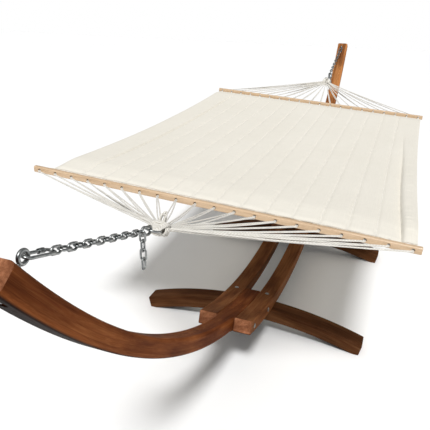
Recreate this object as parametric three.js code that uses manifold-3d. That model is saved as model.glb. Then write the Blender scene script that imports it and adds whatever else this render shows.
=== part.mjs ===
// A hammock with two spreader bars on a laminated wooden arc stand. Millimetres, +Z up.
// +X runs along the stand, from its near end to its far end, and +Y is the left side.
// The origin is on the ground, under the middle of the whole object.

import * as THREE from 'three';
import { mergeVertices } from 'three/addons/utils/BufferGeometryUtils.js';
import Module from 'manifold-3d';

const wasm = await Module();
wasm.setup();

// ---- Driving dimensions ----

const STAND_Y = -25; // the stand's middle plane: the hammock hangs a little to its left
const ARC_INNER_RADIUS = 2418;
const BEAM_DEPTH = 58;
const BEAM_WIDTH = 75;
const BEAM_EDGE_RADIUS = 7;
const SIDE_EDGE_RADIUS = 3;
const ARC_GROUND_CLEARANCE = 94; // under the arc's lowest point
const ARM_TIP_ANGLE = 53.9; // degrees along the arc, from its lowest point
const ARM_ROOT_ANGLE = 10.5;
const SIDE_BEAM_END_ANGLE = 20.4;
const ARC_STEP_ANGLE = 2.2;
const JOINT_GAP = 1.5; // between an arm and the side beams that clamp it

const FOOT_X = 464;
const FOOT_WIDTH = 80;
const FOOT_HALF_LENGTH = 545;
const FOOT_DEPTH = 66;
const FOOT_CROWN_HEIGHT = 146;
const FOOT_TIP_HEIGHT = 52.5;
const FOOT_END_INSET = 12; // how far a foot's end face leans in, down to the ground

const BOLT_RADIUS = 4;
const BOLT_HOLE_RADIUS = 4.6;
const BOLT_HEAD_RADIUS = 10;
const BOLT_HEAD_HEIGHT = 4.5;
const NUT_ACROSS_CORNERS = 15;
const NUT_HEIGHT = 6.5;
const FOOT_BOLT_ANGLE = 10.9;
const JOINT_BOLT_ANGLES = [13.6, 19.2];

const EYE_ANGLE = 52.6;
const EYE_HEIGHT = 26; // ring centre above the arm's inner face
const EYE_RING_RADIUS = 12;
const EYE_WIRE_RADIUS = 4;
const EYE_RECESS_RADIUS = 14;
const EYE_RECESS_DEPTH = 14; // sunk in the arm's outer face for the eye bolt's nut

const GAP = 0.5; // between metal pieces that bear on each other
const WOOD_GAP = 0.8; // between a metal face and a bent face of a beam
const EYE_GAP = 3.6; // room for the quick link to turn in the eye as the hammock swings
const QUICK_LINK = { length: 88, width: 26, wire: 6.5 };
const SLEEVE = { length: 16, acrossCorners: 11.5, offset: 18, opening: 9 };
const CHAIN_LINK = { length: 37.2, width: 20.5, wire: 5.5 };
const CHAIN_LINK_COUNT = 14;
const CHAIN_PITCH = 26.6; // links bite into each other a little, so the taut run is one body
const SNAP_HOOK = { length: 64, width: 30, wire: 8 };
const GATE_LENGTH = 24;
const TAIL_LINK_COUNT = 4;
const TAIL_LIFT = 1.1; // room for a tail link to turn on the chain's last link
const TAIL_SETBACK = 15.5; // along the line, back from the chain's end
const CLEW_RING_RADIUS = 21;
const CLEW_RING_WIRE = 6;

const BAR_LENGTH = 1400;
const BAR_DEPTH = 18;
const BAR_HEIGHT = 24;
const BAR_EDGE_RADIUS = 5;
const BAR_X = 1012;
const BAR_TILT = THREE.MathUtils.degToRad(3.1); // the left ends hang higher
const HOLE_COUNT = 20;
const HOLE_RADIUS = 6;
const HOLE_END_MARGIN = 26;
const CORD_PAIR_RADIUS = 3.2;
const DOWEL_RADIUS = 4;
const DOWEL_TUNNEL_RADIUS = 4.8;
const BED_THICKNESS = 14;
const QUILT_STEPS = 14;
const QUILT_RISE = 20; // how far the near half bows up above the bar
const BED_SAG = 20;

// The two ends differ by how high the bar hangs, by where the quilt ends along it and by how far the
// hem sits above the bar's middle. The hanging hardware turns a little on its own line: that is the roll.
const NEAR = {
  name: 'near',
  side: -1,
  barHeight: 862,
  roll: THREE.MathUtils.degToRad(8),
  apex: new THREE.Vector3(-1337, -8, 922),
  quiltRight: -685,
  quiltLeft: 622,
  hemLift: 10,
};
const FAR = {
  name: 'far',
  side: 1,
  barHeight: 831,
  roll: THREE.MathUtils.degToRad(-8),
  apex: new THREE.Vector3(1337, -8, 902),
  quiltRight: -690,
  quiltLeft: 692,
  hemLift: -9,
};

// ---- Worked out from them ----

const ARC_OUTER_RADIUS = ARC_INNER_RADIUS + BEAM_DEPTH;
const ARC_CENTRE_Z = ARC_GROUND_CLEARANCE + ARC_OUTER_RADIUS;
const SIDE_BEAM_Y = BEAM_WIDTH + JOINT_GAP;
const STAND_HALF_WIDTH = SIDE_BEAM_Y + BEAM_WIDTH / 2;
const BAR_INNER_X = BAR_X - BAR_DEPTH / 2;
const BED_END_X = BAR_INNER_X - 3.5;
const DOWEL_X = BED_END_X - 12;
const HOLE_SPACING = (BAR_LENGTH - 2 * HOLE_END_MARGIN) / (HOLE_COUNT - 1);

// ---- Materials ----

const stainedWood = { color: 0x5a3522, roughness: 0.6, metalness: 0 };
const paleWood = { color: 0xd8b184, roughness: 0.55, metalness: 0 };
const zincSteel = { color: 0xa9adac, roughness: 0.35, metalness: 0.9 };
const cottonCord = { color: 0xe9e4d6, roughness: 0.95, metalness: 0 };
const quiltCanvas = { color: 0xf0ece0, roughness: 0.95, metalness: 0 };

// ---- Small helpers ----

const { degToRad, lerp } = THREE.MathUtils;

function part(name, geometry, finish) {
  const mesh = new THREE.Mesh(geometry, new THREE.MeshStandardMaterial(finish));
  mesh.name = name;
  return mesh;
}

function solidOf(geometry) {
  const bare = geometry.clone();
  bare.deleteAttribute('normal');
  bare.deleteAttribute('uv');
  const merged = mergeVertices(bare, 1e-3);
  const corners = merged.index.array;
  const kept = [];
  for (let i = 0; i < corners.length; i += 3) {
    const [a, b, c] = [corners[i], corners[i + 1], corners[i + 2]];
    if (a !== b && b !== c && c !== a) kept.push(a, b, c);
  }
  return new wasm.Manifold(new wasm.Mesh({
    numProp: 3,
    vertProperties: new Float32Array(merged.attributes.position.array),
    triVerts: new Uint32Array(kept),
  }));
}

function geometryOf(solid) {
  const mesh = solid.getMesh();
  const geometry = new THREE.BufferGeometry();
  geometry.setAttribute('position', new THREE.BufferAttribute(new Float32Array(mesh.vertProperties), 3));
  geometry.setIndex(new THREE.BufferAttribute(new Uint32Array(mesh.triVerts), 1));
  geometry.computeVertexNormals();
  return geometry;
}

function joined(geometries) {
  return geometries.map(solidOf).reduce((whole, piece) => whole.add(piece));
}

function cutBy(geometry, cutters) {
  return geometryOf(solidOf(geometry).subtract(joined(cutters)));
}

function roundedRectangle(width, height, radius) {
  const x = width / 2 - radius;
  const y = height / 2 - radius;
  const shape = new THREE.Shape();
  shape.absarc(x, y, radius, 0, Math.PI / 2);
  shape.absarc(-x, y, radius, Math.PI / 2, Math.PI);
  shape.absarc(-x, -y, radius, Math.PI, 1.5 * Math.PI);
  shape.absarc(x, -y, radius, 1.5 * Math.PI, 2 * Math.PI);
  return shape;
}

// A cylinder whose axis runs from one point to another.
function rodBetween(from, to, radius, sides) {
  const axis = new THREE.Vector3().subVectors(to, from);
  const rod = new THREE.CylinderGeometry(radius, radius, axis.length(), sides);
  rod.applyQuaternion(new THREE.Quaternion().setFromUnitVectors(new THREE.Vector3(0, 1, 0), axis.normalize()));
  const middle = new THREE.Vector3().addVectors(from, to).multiplyScalar(0.5);
  return rod.translate(middle.x, middle.y, middle.z);
}

// A nut or washer round +Y, from y = 0 to y = height.
function pierced(outerRadius, sides, holeRadius, height) {
  const shape = new THREE.Shape();
  for (let i = 0; i < sides; i += 1) {
    const angle = (i / sides) * 2 * Math.PI;
    const point = [outerRadius * Math.cos(angle), outerRadius * Math.sin(angle)];
    if (i === 0) shape.moveTo(...point);
    else shape.lineTo(...point);
  }
  const hole = new THREE.Path().absarc(0, 0, holeRadius, 0, 2 * Math.PI, true);
  shape.holes.push(hole);
  const options = { depth: height, bevelEnabled: false, curveSegments: 6 };
  return new THREE.ExtrudeGeometry(shape, options).rotateX(-Math.PI / 2);
}

// A closed ring of round wire in the XY plane, stretched along X to the given outer length.
function wireRing({ length, width, wire }, sides, segments) {
  const ring = new THREE.TorusGeometry((width - wire) / 2, wire / 2, sides, segments);
  const stretch = (length - width) / 2;
  const position = ring.attributes.position;
  for (let i = 0; i < position.count; i += 1) {
    const x = position.getX(i);
    position.setX(i, x + Math.sign(x) * stretch);
  }
  return ring;
}

// ---- The stand's arc, in the stand's own middle plane ----

function onArc(radius, angle, y = 0) {
  const a = degToRad(angle);
  return new THREE.Vector3(radius * Math.sin(a), y, ARC_CENTRE_Z - radius * Math.cos(a));
}

class ArcPath extends THREE.Curve {
  constructor(radius, fromAngle, toAngle) {
    super();
    Object.assign(this, { radius, fromAngle, toAngle });
  }

  getPoint(t) {
    return onArc(this.radius, lerp(this.fromAngle, this.toAngle, t));
  }
}

// A bent beam between two radii. The section's first axis is the stand's width.
function arcBeam(innerRadius, outerRadius, width, edgeRadius, fromAngle, toAngle) {
  const section = roundedRectangle(width, outerRadius - innerRadius, edgeRadius);
  const path = new ArcPath((innerRadius + outerRadius) / 2, fromAngle, toAngle);
  const steps = Math.round((toAngle - fromAngle) / ARC_STEP_ANGLE);
  const curveSegments = edgeRadius < 5 ? 1 : 2;
  return new THREE.ExtrudeGeometry(section, { steps, curveSegments, extrudePath: path });
}

const jointBoltHole = (angle) => {
  const radius = (ARC_INNER_RADIUS + ARC_OUTER_RADIUS) / 2;
  return rodBetween(onArc(radius, angle, -200), onArc(radius, angle, 200), BOLT_HOLE_RADIUS, 10);
};

function arm(end) {
  const angles = [end.side * ARM_TIP_ANGLE, end.side * ARM_ROOT_ANGLE].sort((a, b) => a - b);
  const beam = arcBeam(ARC_INNER_RADIUS, ARC_OUTER_RADIUS, BEAM_WIDTH, BEAM_EDGE_RADIUS, ...angles);
  const eyeAngle = end.side * EYE_ANGLE;
  const eyeHole = rodBetween(
    onArc(ARC_INNER_RADIUS - 20, eyeAngle),
    onArc(ARC_OUTER_RADIUS + 20, eyeAngle),
    BOLT_HOLE_RADIUS,
    10,
  );
  const recess = rodBetween(
    onArc(EYE_NUT_RADIUS, eyeAngle),
    onArc(ARC_OUTER_RADIUS + 20, eyeAngle),
    EYE_RECESS_RADIUS,
    14,
  );
  const jointHoles = JOINT_BOLT_ANGLES.map((angle) => jointBoltHole(end.side * angle));
  return part(`${end.name}_arm`, cutBy(beam, [eyeHole, recess, ...jointHoles]), stainedWood);
}

function sideBeam(sideName, side) {
  const beam = arcBeam(
    ARC_INNER_RADIUS,
    ARC_OUTER_RADIUS,
    BEAM_WIDTH,
    SIDE_EDGE_RADIUS,
    -SIDE_BEAM_END_ANGLE,
    SIDE_BEAM_END_ANGLE,
  ).translate(0, side * SIDE_BEAM_Y, 0);
  const holes = [];
  for (const end of [NEAR, FAR]) {
    const angle = end.side * FOOT_BOLT_ANGLE;
    const top = onArc(ARC_INNER_RADIUS - 20, angle, side * SIDE_BEAM_Y);
    const bottom = onArc(ARC_OUTER_RADIUS + 20, angle, side * SIDE_BEAM_Y);
    holes.push(rodBetween(top, bottom, BOLT_HOLE_RADIUS, 10));
    holes.push(...JOINT_BOLT_ANGLES.map((jointAngle) => jointBoltHole(end.side * jointAngle)));
  }
  return part(`side_beam_${sideName}`, cutBy(beam, holes), stainedWood);
}

// An arched foot, with a saddle for the beams, a flat under each tip and two bolt holes.
function foot(end) {
  const rise = FOOT_CROWN_HEIGHT - FOOT_TIP_HEIGHT;
  const topRadius = (FOOT_HALF_LENGTH ** 2 + rise ** 2) / (2 * rise);
  const centreZ = FOOT_CROWN_HEIGHT - topRadius;
  const bottomRadius = topRadius - FOOT_DEPTH;
  const tipAngle = Math.asin(FOOT_HALF_LENGTH / topRadius);
  const flatAngle = Math.acos(-centreZ / bottomRadius);
  const up = Math.PI / 2;
  const outline = new THREE.Shape();
  outline.absarc(0, centreZ, topRadius, up - tipAngle, up + tipAngle);
  outline.lineTo(-FOOT_HALF_LENGTH + FOOT_END_INSET, 0);
  outline.absarc(0, centreZ, bottomRadius, up + flatAngle, up - flatAngle, true);
  outline.lineTo(FOOT_HALF_LENGTH - FOOT_END_INSET, 0);
  const options = { depth: FOOT_WIDTH, bevelEnabled: false, curveSegments: 20 };
  const blank = new THREE.ExtrudeGeometry(outline, options);
  blank.rotateX(Math.PI / 2).rotateZ(Math.PI / 2).translate(end.side * FOOT_X - FOOT_WIDTH / 2, 0, 0);

  const saddle = arcBeam(
    ARC_INNER_RADIUS - 100,
    ARC_OUTER_RADIUS + 0.5,
    2 * STAND_HALF_WIDTH + 2,
    1,
    -SIDE_BEAM_END_ANGLE,
    SIDE_BEAM_END_ANGLE,
  );
  const cutters = [saddle];
  const angle = end.side * FOOT_BOLT_ANGLE;
  for (const y of [-SIDE_BEAM_Y, SIDE_BEAM_Y]) {
    const low = onArc(FOOT_NUT_RADIUS + 60, angle, y);
    cutters.push(rodBetween(onArc(ARC_OUTER_RADIUS - 20, angle, y), low, BOLT_HOLE_RADIUS, 10));
    cutters.push(rodBetween(onArc(FOOT_NUT_RADIUS - 0.4, angle, y), low, 12, 12));
  }
  return part(`${end.name}_foot`, cutBy(blank, cutters), stainedWood);
}

// ---- Fasteners ----

const FOOT_NUT_RADIUS = ARC_OUTER_RADIUS + 42; // where a foot bolt's nut bears, from the arc's centre
const EYE_NUT_RADIUS = ARC_OUTER_RADIUS - EYE_RECESS_DEPTH;
const FOOT_BOLT_LENGTH = FOOT_NUT_RADIUS + NUT_HEIGHT + 3 - ARC_INNER_RADIUS;
const JOINT_BOLT_LENGTH = 2 * STAND_HALF_WIDTH + NUT_HEIGHT + 4;

// A dome-headed bolt: the head rises along +Y from y = 0 and the shank runs down from it.
function domeBolt(length) {
  const profile = [new THREE.Vector2(0, -length), new THREE.Vector2(BOLT_RADIUS, -length)];
  profile.push(new THREE.Vector2(BOLT_RADIUS, WOOD_GAP));
  profile.push(new THREE.Vector2(BOLT_HEAD_RADIUS, WOOD_GAP));
  profile.push(new THREE.Vector2(0.8 * BOLT_HEAD_RADIUS, 0.62 * BOLT_HEAD_HEIGHT));
  profile.push(new THREE.Vector2(0.45 * BOLT_HEAD_RADIUS, 0.93 * BOLT_HEAD_HEIGHT));
  profile.push(new THREE.Vector2(0, BOLT_HEAD_HEIGHT));
  return geometryOf(solidOf(new THREE.LatheGeometry(profile, 10)));
}

function nut() {
  return pierced(NUT_ACROSS_CORNERS / 2, 6, BOLT_RADIUS + 0.3, NUT_HEIGHT);
}

// Places a piece made round +Y so that its +Y points along a direction.
function placed(mesh, origin, yDirection) {
  mesh.position.copy(origin);
  mesh.quaternion.setFromUnitVectors(new THREE.Vector3(0, 1, 0), yDirection.clone().normalize());
  return mesh;
}

function footFasteners(end) {
  const angle = end.side * FOOT_BOLT_ANGLE;
  const inward = onArc(-1, angle).sub(onArc(0, angle));
  const pieces = [];
  for (const [sideName, side] of [['left', 1], ['right', -1]]) {
    const y = side * SIDE_BEAM_Y;
    const bolt = part(`${end.name}_foot_bolt_${sideName}`, domeBolt(FOOT_BOLT_LENGTH), zincSteel);
    pieces.push(placed(bolt, onArc(ARC_INNER_RADIUS, angle, y), inward));
    const footNut = part(`${end.name}_foot_nut_${sideName}`, nut(), zincSteel);
    pieces.push(placed(footNut, onArc(FOOT_NUT_RADIUS + NUT_HEIGHT, angle, y), inward));
  }
  return pieces;
}

function jointFasteners(end) {
  const radius = (ARC_INNER_RADIUS + ARC_OUTER_RADIUS) / 2;
  const pieces = [];
  JOINT_BOLT_ANGLES.forEach((angle, i) => {
    const at = (y) => onArc(radius, end.side * angle, y);
    const toRight = new THREE.Vector3(0, -1, 0);
    const bolt = part(`${end.name}_joint_bolt_${i + 1}`, domeBolt(JOINT_BOLT_LENGTH), zincSteel);
    pieces.push(placed(bolt, at(-STAND_HALF_WIDTH), toRight));
    const jointNut = part(`${end.name}_joint_nut_${i + 1}`, nut(), zincSteel);
    pieces.push(placed(jointNut, at(STAND_HALF_WIDTH + 0.4 + NUT_HEIGHT), toRight));
  });
  return pieces;
}

function eyeBolt(end) {
  const angle = end.side * EYE_ANGLE;
  const centre = onArc(ARC_INNER_RADIUS - EYE_HEIGHT, angle);
  const ring = new THREE.TorusGeometry(EYE_RING_RADIUS, EYE_WIRE_RADIUS, 8, 16)
    .rotateX(Math.PI / 2)
    .translate(centre.x, centre.y, centre.z);
  const neck = onArc(ARC_INNER_RADIUS - EYE_HEIGHT + EYE_RING_RADIUS, angle);
  const shank = rodBetween(neck, onArc(EYE_NUT_RADIUS + 13, angle), BOLT_RADIUS, 10);
  const collarTop = onArc(ARC_INNER_RADIUS - 5, angle);
  const collar = rodBetween(collarTop, onArc(ARC_INNER_RADIUS - WOOD_GAP, angle), 8, 12);
  return part(`${end.name}_eye_bolt`, geometryOf(joined([ring, shank, collar])), zincSteel);
}

function eyeFasteners(end) {
  const angle = end.side * EYE_ANGLE;
  const inward = onArc(-1, angle).sub(onArc(0, angle));
  const washer = part(`${end.name}_eye_washer`, pierced(12, 12, BOLT_RADIUS + 0.3, 2), zincSteel);
  const eyeNut = part(`${end.name}_eye_nut`, nut(), zincSteel);
  return [
    placed(washer, onArc(EYE_NUT_RADIUS + 2.4, angle), inward),
    placed(eyeNut, onArc(EYE_NUT_RADIUS + 2.8 + NUT_HEIGHT, angle), inward),
  ];
}

// ---- The steel between each eye and the hammock ----
// A hanging line runs from the eye's centre to the fan's apex. Pieces sit on it in order, and
// distances along it are to the middle of each piece's wire.

const eyeCentre = (end) => {
  return onArc(ARC_INNER_RADIUS - EYE_HEIGHT, end.side * EYE_ANGLE).add(new THREE.Vector3(0, STAND_Y, 0));
};

const wireSpan = (link) => link.length - link.wire;
const QUICK_LINK_START = EYE_RING_RADIUS - EYE_WIRE_RADIUS - QUICK_LINK.wire / 2 - EYE_GAP;
const QUICK_LINK_END = QUICK_LINK_START + wireSpan(QUICK_LINK);
const CHAIN_START = QUICK_LINK_END - (QUICK_LINK.wire + CHAIN_LINK.wire) / 2 - GAP;
const CHAIN_END = CHAIN_START + wireSpan(CHAIN_LINK) + (CHAIN_LINK_COUNT - 1) * CHAIN_PITCH;
const HOOK_START = CHAIN_END - (CHAIN_LINK.wire + SNAP_HOOK.wire) / 2 - GAP;
const HOOK_END = HOOK_START + wireSpan(SNAP_HOOK);
const RING_CENTRE = HOOK_END - (SNAP_HOOK.wire + CLEW_RING_WIRE) / 2 - GAP + CLEW_RING_RADIUS;

// The line's own frame: X along it, and Z upright but for the hardware's roll.
function lineFrame(end) {
  const origin = eyeCentre(end);
  const along = new THREE.Vector3().subVectors(end.apex, origin).normalize();
  const across = new THREE.Vector3(0, 0, 1).cross(along).normalize();
  const upward = new THREE.Vector3().crossVectors(along, across);
  const level = new THREE.Matrix4().makeBasis(along, across, upward).setPosition(origin);
  return level.multiply(new THREE.Matrix4().makeRotationX(end.roll));
}

function onLine(end, distance, y = 0, z = 0) {
  return new THREE.Vector3(distance, y, z).applyMatrix4(lineFrame(end));
}

function hungOnLine(end, mesh) {
  mesh.applyMatrix4(lineFrame(end));
  return mesh;
}

function quickLink(end) {
  const middle = (QUICK_LINK_START + QUICK_LINK_END) / 2;
  const legY = ((QUICK_LINK.width - QUICK_LINK.wire) / 2) * Math.cos(Math.PI / 14);
  const ring = wireRing(QUICK_LINK, 8, 14);
  const mouth = new THREE.BoxGeometry(SLEEVE.opening, 10, 10).translate(SLEEVE.offset, legY, 0);
  const body = cutBy(ring, [mouth]).translate(middle, 0, 0);
  const sleeve = pierced(SLEEVE.acrossCorners / 2, 6, QUICK_LINK.wire / 2 + 0.6, SLEEVE.length)
    .rotateZ(-Math.PI / 2)
    .translate(middle + SLEEVE.offset - SLEEVE.length / 2, legY, 0);
  return [
    hungOnLine(end, part(`${end.name}_quick_link`, body, zincSteel)),
    hungOnLine(end, part(`${end.name}_quick_link_sleeve`, sleeve, zincSteel)),
  ];
}

// The taut run of chain. Every second link is turned a quarter turn.
function chain(end) {
  const links = [];
  for (let i = 0; i < CHAIN_LINK_COUNT; i += 1) {
    const link = wireRing(CHAIN_LINK, 4, 10);
    if (i % 2 === 0) link.rotateX(Math.PI / 2);
    links.push(link.translate(CHAIN_START + wireSpan(CHAIN_LINK) / 2 + i * CHAIN_PITCH, 0, 0));
  }
  return hungOnLine(end, part(`${end.name}_chain`, geometryOf(joined(links)), zincSteel));
}

function snapHook(end) {
  const middle = (HOOK_START + HOOK_END) / 2;
  const legZ = ((SNAP_HOOK.width - SNAP_HOOK.wire) / 2) * Math.cos(Math.PI / 14);
  const ring = wireRing(SNAP_HOOK, 8, 14).rotateX(Math.PI / 2);
  const mouth = new THREE.BoxGeometry(GATE_LENGTH + 2 * GAP, 10, 10).translate(0, 0, legZ);
  const body = cutBy(ring, [mouth]).translate(middle, 0, 0);
  const gateRadius = 0.42 * SNAP_HOOK.wire;
  const capsule = new THREE.CapsuleGeometry(gateRadius, GATE_LENGTH - 2 * gateRadius, 3, 8);
  const gate = geometryOf(solidOf(capsule)).rotateZ(Math.PI / 2).translate(middle, 0, legZ);
  return [
    hungOnLine(end, part(`${end.name}_snap_hook`, body, zincSteel)),
    hungOnLine(end, part(`${end.name}_snap_gate`, gate, zincSteel)),
  ];
}

// The spare links hang plumb from the right leg of the chain's last link.
const TAIL_PITCH = CHAIN_LINK.length - 2 * CHAIN_LINK.wire - GAP;

function tailTop(end) {
  const legY = ((CHAIN_LINK.width - CHAIN_LINK.wire) / 2) * Math.cos(Math.PI / 10);
  const leg = onLine(end, CHAIN_END - TAIL_SETBACK, end.side * legY);
  return leg.add(new THREE.Vector3(0, 0, CHAIN_LINK.wire + TAIL_LIFT));
}

function tailLinks(end) {
  const links = [];
  const top = tailTop(end);
  for (let i = 0; i < TAIL_LINK_COUNT; i += 1) {
    const link = part(`${end.name}_tail_link_${i + 1}`, wireRing(CHAIN_LINK, 6, 10), zincSteel);
    const acrossStand = i % 2 === 0;
    link.rotation.set(acrossStand ? 0 : Math.PI / 2, Math.PI / 2, 0, 'ZYX');
    link.position.copy(top).add(new THREE.Vector3(0, 0, -wireSpan(CHAIN_LINK) / 2 - i * TAIL_PITCH));
    links.push(link);
  }
  return links;
}

function clewRing(end) {
  const ring = new THREE.TorusGeometry(CLEW_RING_RADIUS, CLEW_RING_WIRE / 2, 6, 14)
    .translate(RING_CENTRE, 0, 0);
  return hungOnLine(end, part(`${end.name}_clew_ring`, ring, zincSteel));
}

// ---- The hammock ----

// A point along a spreader bar: s runs from its middle towards its left end.
function onBar(end, s, x = BAR_X, z = 0) {
  const y = s * Math.cos(BAR_TILT);
  return new THREE.Vector3(end.side * x, y, end.barHeight + s * Math.sin(BAR_TILT) + z);
}

const holePlace = (i) => -BAR_LENGTH / 2 + HOLE_END_MARGIN + i * HOLE_SPACING;

function spreaderBar(end) {
  const section = roundedRectangle(BAR_DEPTH, BAR_HEIGHT, BAR_EDGE_RADIUS);
  const options = { depth: BAR_LENGTH, bevelEnabled: false, curveSegments: 2 };
  const blank = new THREE.ExtrudeGeometry(section, options).translate(0, 0, -BAR_LENGTH / 2);
  blank.rotateX(-Math.PI / 2 + BAR_TILT).translate(end.side * BAR_X, 0, end.barHeight);
  const holes = [];
  for (let i = 0; i < HOLE_COUNT; i += 1) {
    const s = holePlace(i);
    holes.push(rodBetween(onBar(end, s, BAR_X - 20), onBar(end, s, BAR_X + 20), HOLE_RADIUS, 7));
  }
  return part(`${end.name}_spreader_bar`, cutBy(blank, holes), paleWood);
}

// The clew: a bound knot round the steel ring, and a pair of cords from it to every hole.
function clew(end) {
  const knotCentre = RING_CENTRE + CLEW_RING_RADIUS + 14;
  const knot = new THREE.SphereGeometry(1, 10, 6).scale(36, 26, 17).translate(knotCentre, 0, 0);
  knot.applyMatrix4(lineFrame(end));
  const fanStart = onLine(end, knotCentre + 24);
  const pieces = [knot];
  for (let i = 0; i < HOLE_COUNT; i += 1) {
    const s = holePlace(i);
    const mouth = onBar(end, s, BAR_X + BAR_DEPTH / 2 + 4.5);
    const bend = onBar(end, s, BAR_X + BAR_DEPTH / 2 + 6.5);
    const inside = onBar(end, s, BED_END_X + 0.4);
    pieces.push(rodBetween(fanStart, mouth, CORD_PAIR_RADIUS, 4));
    pieces.push(rodBetween(bend, inside, CORD_PAIR_RADIUS, 4));
  }
  const ringRoom = new THREE.TorusGeometry(CLEW_RING_RADIUS, CLEW_RING_WIRE / 2 + 0.7, 6, 14)
    .translate(RING_CENTRE, 0, 0)
    .applyMatrix4(lineFrame(end));
  const whole = joined(pieces).subtract(solidOf(ringRoom));
  return part(`${end.name}_clew`, geometryOf(whole), cottonCord);
}

// The quilt's height above the line between the bars. It eases to each hem's own height in its last step.
function quiltLift(u) {
  const nearHem = Math.max(0, 1 - u * QUILT_STEPS);
  const farHem = Math.max(0, 1 - (1 - u) * QUILT_STEPS);
  return QUILT_RISE * (1 - u) + (NEAR.hemLift - QUILT_RISE) * nearHem + FAR.hemLift * farHem;
}

// The quilt hangs between the bars. Along it (u from 0 to 1) it sags, across it it follows the bars.
function quilt() {
  const slab = new THREE.BoxGeometry(1, 1, 1, QUILT_STEPS, 4, 1);
  const position = slab.attributes.position;
  for (let i = 0; i < position.count; i += 1) {
    const u = position.getX(i) + 0.5;
    const v = position.getY(i) + 0.5;
    const slack = 4 * u * (1 - u);
    const right = lerp(NEAR.quiltRight, FAR.quiltRight, u) + 10 * slack;
    const left = lerp(NEAR.quiltLeft, FAR.quiltLeft, u) - 16 * slack;
    const s = lerp(right, left, v);
    const height = lerp(NEAR.barHeight, FAR.barHeight, u) + s * Math.sin(BAR_TILT);
    const z = height + quiltLift(u) - BED_SAG * slack + position.getZ(i) * BED_THICKNESS;
    position.setXYZ(i, lerp(-BED_END_X, BED_END_X, u), s * Math.cos(BAR_TILT), z);
  }
  const tunnels = [NEAR, FAR].map((end) => {
    const x = DOWEL_X;
    return rodBetween(dowelPoint(end, -750, x), dowelPoint(end, 750, x), DOWEL_TUNNEL_RADIUS, 10);
  });
  return part('quilted_bed', cutBy(slab, tunnels), quiltCanvas);
}

// The hem's middle, which follows the quilt's own slope and sag near the bar.
function dowelPoint(end, s, x) {
  const u = (x + BED_END_X) / (2 * BED_END_X);
  const towardsMiddle = 4 * u * (1 - u);
  const slope = ((FAR.barHeight - NEAR.barHeight) / (2 * BED_END_X)) * (BED_END_X - x) * -end.side;
  const lift = quiltLift(end === FAR ? u : 1 - u);
  return onBar(end, s, x, slope + lift - BED_SAG * towardsMiddle);
}

function hemDowel(end) {
  const from = dowelPoint(end, end.quiltRight + 12, DOWEL_X);
  const to = dowelPoint(end, end.quiltLeft - 12, DOWEL_X);
  return part(`${end.name}_hem_dowel`, geometryOf(solidOf(rodBetween(from, to, DOWEL_RADIUS, 8))), paleWood);
}

// ---- Assembly ----

const stand = new THREE.Group();
stand.position.y = STAND_Y;
stand.add(sideBeam('left', 1), sideBeam('right', -1));
for (const end of [NEAR, FAR]) {
  stand.add(arm(end), foot(end), eyeBolt(end));
  stand.add(...footFasteners(end), ...jointFasteners(end), ...eyeFasteners(end));
}

const hammock = new THREE.Group();
hammock.add(quilt());
for (const end of [NEAR, FAR]) {
  hammock.add(...quickLink(end), chain(end), ...snapHook(end), ...tailLinks(end));
  hammock.add(clewRing(end), clew(end), spreaderBar(end), hemDowel(end));
}

const hammockOnStand = new THREE.Group();
hammockOnStand.add(stand, hammock);

export default hammockOnStand;
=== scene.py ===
"""Looks for the hammock on its wooden arc stand. Metres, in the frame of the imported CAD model."""

import math

import bpy
import numpy as np
from mathutils import Matrix, Vector


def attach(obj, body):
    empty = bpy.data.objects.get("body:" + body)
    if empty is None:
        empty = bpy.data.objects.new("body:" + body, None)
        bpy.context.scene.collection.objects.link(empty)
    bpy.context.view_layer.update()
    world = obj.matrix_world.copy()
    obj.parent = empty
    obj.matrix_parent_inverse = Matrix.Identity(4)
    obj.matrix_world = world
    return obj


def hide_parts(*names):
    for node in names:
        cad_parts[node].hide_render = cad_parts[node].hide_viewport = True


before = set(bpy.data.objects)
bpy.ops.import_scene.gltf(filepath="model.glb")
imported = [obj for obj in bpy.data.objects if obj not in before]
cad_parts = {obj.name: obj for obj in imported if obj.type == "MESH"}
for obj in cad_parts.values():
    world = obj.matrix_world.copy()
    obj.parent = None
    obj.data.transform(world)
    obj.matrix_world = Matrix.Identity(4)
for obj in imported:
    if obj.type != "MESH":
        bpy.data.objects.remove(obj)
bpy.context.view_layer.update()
rng = np.random.default_rng(7)

# ---------------------------------------------------------------- camera

CAMERA_AT = (-2.481, -0.584, 1.529)
CAMERA_YAW, CAMERA_PITCH, CAMERA_ROLL = 20.48, 24.04, 0.78
CAMERA_LENS, CAMERA_SENSOR = 42.18, 36


def add_camera():
    yaw, pitch, roll = (math.radians(a) for a in (CAMERA_YAW, CAMERA_PITCH, CAMERA_ROLL))
    ahead = Vector((math.cos(yaw) * math.cos(pitch), math.sin(yaw) * math.cos(pitch), -math.sin(pitch)))
    level_right = Vector((math.sin(yaw), -math.cos(yaw), 0))
    level_up = level_right.cross(ahead)
    right = level_right * math.cos(roll) + level_up * math.sin(roll)
    up = level_up * math.cos(roll) - level_right * math.sin(roll)
    data = bpy.data.cameras.new("camera")
    data.sensor_width = CAMERA_SENSOR
    data.lens = CAMERA_LENS
    camera = bpy.data.objects.new("camera", data)
    rows = [[right[i], up[i], -ahead[i]] for i in range(3)]
    camera.matrix_world = Matrix.Translation(CAMERA_AT) @ Matrix(rows).to_4x4()
    bpy.context.scene.collection.objects.link(camera)
    bpy.context.scene.camera = camera


add_camera()

# ---------------------------------------------------------------- the CAD model's dimensions

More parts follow.
